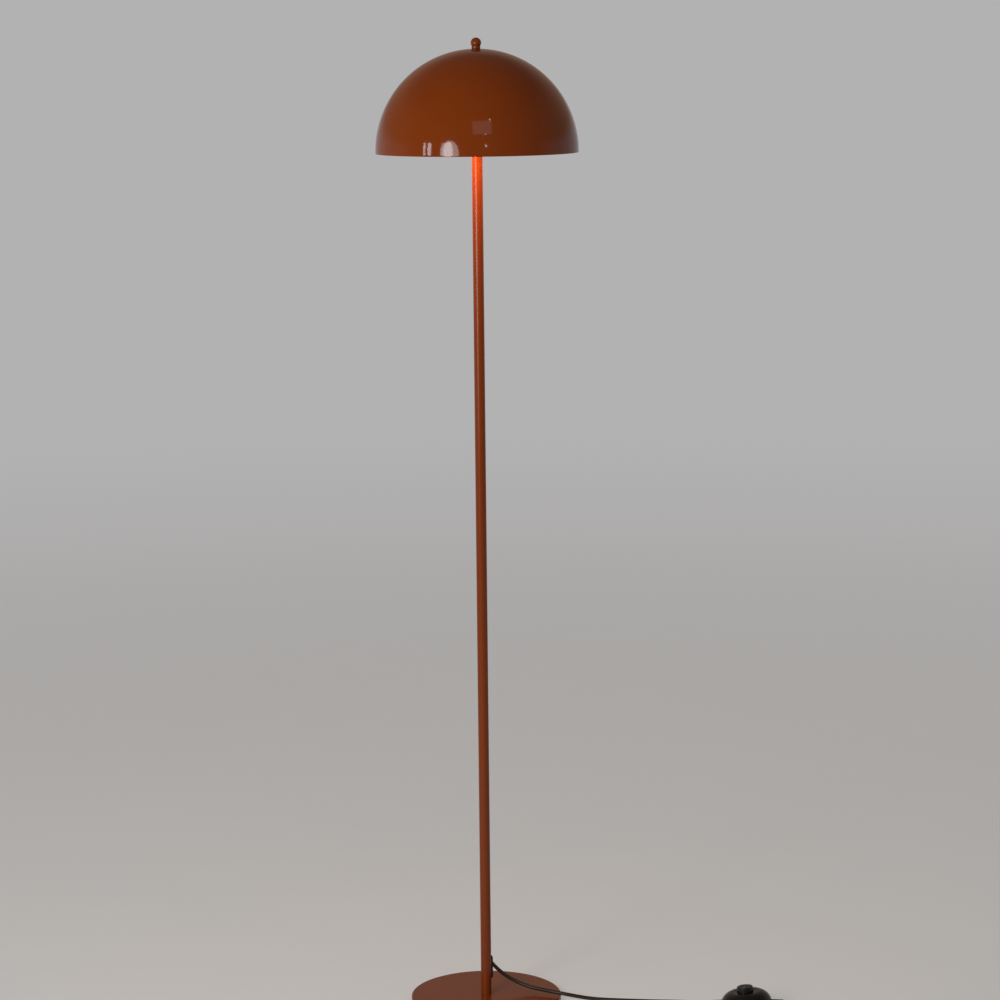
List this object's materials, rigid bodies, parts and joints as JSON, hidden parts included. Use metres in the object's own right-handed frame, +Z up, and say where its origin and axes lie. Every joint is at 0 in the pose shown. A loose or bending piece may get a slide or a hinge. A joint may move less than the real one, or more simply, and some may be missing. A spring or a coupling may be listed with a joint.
{
  "type": "floor lamp",
  "caption": "Mushroom floor lamp: spun dome shade with a ball finial on a slim screwed pole, round base, foot switch on the cord.",
  "frame": {"origin": "centre of the base where it stands on the floor", "axes": "+Z up the pole, -Y towards the viewer, +X to the viewer's right, where the cord and switch lie"},
  "size_m": [0.6504, 0.3607, 1.4634],
  "materials": {
    "orange_paint": "glossy burnt orange lacquer",
    "weight_iron": "rough cast",
    "soft_pad": "matt",
    "zinc_steel": "zinc plated",
    "seat_plastic": "smooth",
    "dark_insert": "satin",
    "holder_black": "satin moulded",
    "holder_porcelain": "glazed",
    "contact_brass": "bright",
    "bulb_cap_metal": "rolled thread",
    "bulb_insulator": "black glass",
    "bulb_housing": "white moulded",
    "bulb_opal": "opal, lit warm white",
    "cord_sheath": "dark brown soft plastic",
    "tie_black": "matt",
    "wire_brown": "smooth",
    "wire_blue": "smooth",
    "switch_black": "satin moulded",
    "spring_steel": "drawn wire",
    "black_rubber": "matt",
    "plug_black": "satin moulded"
  },
  "bodies": {
    "stand": {"base_cover": "orange_paint", "base_nipple": "zinc_steel", "base_nut": "zinc_steel", "base_pad": "soft_pad", "base_washer": "zinc_steel", "base_weight": "weight_iron", "cord_coil": "cord_sheath", "cord_outlet": "dark_insert", "cord_tie": "tie_black", "cord_to_coil": "cord_sheath", "cord_to_plug": "cord_sheath", "cord_to_switch": "cord_sheath", "finial_washer": "seat_plastic", "head_bush": "zinc_steel", "head_tube": "orange_paint", "holder_bracket": "orange_paint", "holder_cap": "holder_black", "holder_centre_contact": "contact_brass", "holder_core": "holder_porcelain", "holder_nipple": "zinc_steel", "holder_nut": "zinc_steel", "holder_screw_shell": "contact_brass", "holder_shell": "holder_black", "joining_nipples": "zinc_steel", "plug_body": "plug_black", "plug_boot": "black_rubber", "plug_pin_sleeves": "black_rubber", "plug_pins": "contact_brass", "pole_cord": "cord_sheath", "pole_tube_1": "orange_paint", "pole_tube_2": "orange_paint", "pole_tube_3": "orange_paint", "pole_tube_4": "orange_paint", "seat_washer": "seat_plastic", "shade": "orange_paint", "switch_base": "switch_black", "switch_block": "switch_black", "switch_block_lid": "switch_black", "switch_cover": "switch_black", "switch_feet": "black_rubber", "switch_screws": "zinc_steel", "switch_sleeve_in": "black_rubber", "switch_sleeve_out": "black_rubber", "switch_spring": "spring_steel", "switch_terminals": "contact_brass", "switch_wires": "wire_blue", "top_stud": "zinc_steel", "tube_bushes": "zinc_steel", "wire_blue": "wire_blue", "wire_brown": "wire_brown", "wire_grommet": "seat_plastic"},
    "finial_knob": {"finial": "orange_paint"},
    "bulb": {"bulb_contact": "contact_brass", "bulb_insulator": "bulb_insulator", "bulb_cap": "bulb_cap_metal", "bulb_housing": "bulb_housing", "bulb_globe": "bulb_opal"},
    "foot_button": {"switch_button": "switch_black", "switch_bridge": "contact_brass"}
  },
  "joints": [
    {"name": "button_press", "type": "slide", "parent": "stand", "child": "foot_button", "axis": [0.0994, -0.0323, -0.9945], "range_m": [0, 0.0035], "stiffness_N_per_m": 1500, "springref_m": -0.002, "deforming": ["switch_spring"]},
    {"name": "finial_turn", "type": "hinge", "parent": "stand", "child": "finial_knob", "pos_m": [0, 0, 1.4557], "axis": [0, 0, 1], "range_deg": [0, 3240]},
    {"name": "bulb_turn", "type": "hinge", "parent": "stand", "child": "bulb", "pos_m": [-0.02828, -0.02828, 1.36], "axis": [0, 0, -1], "range_deg": [0, 1800]}
  ]
}
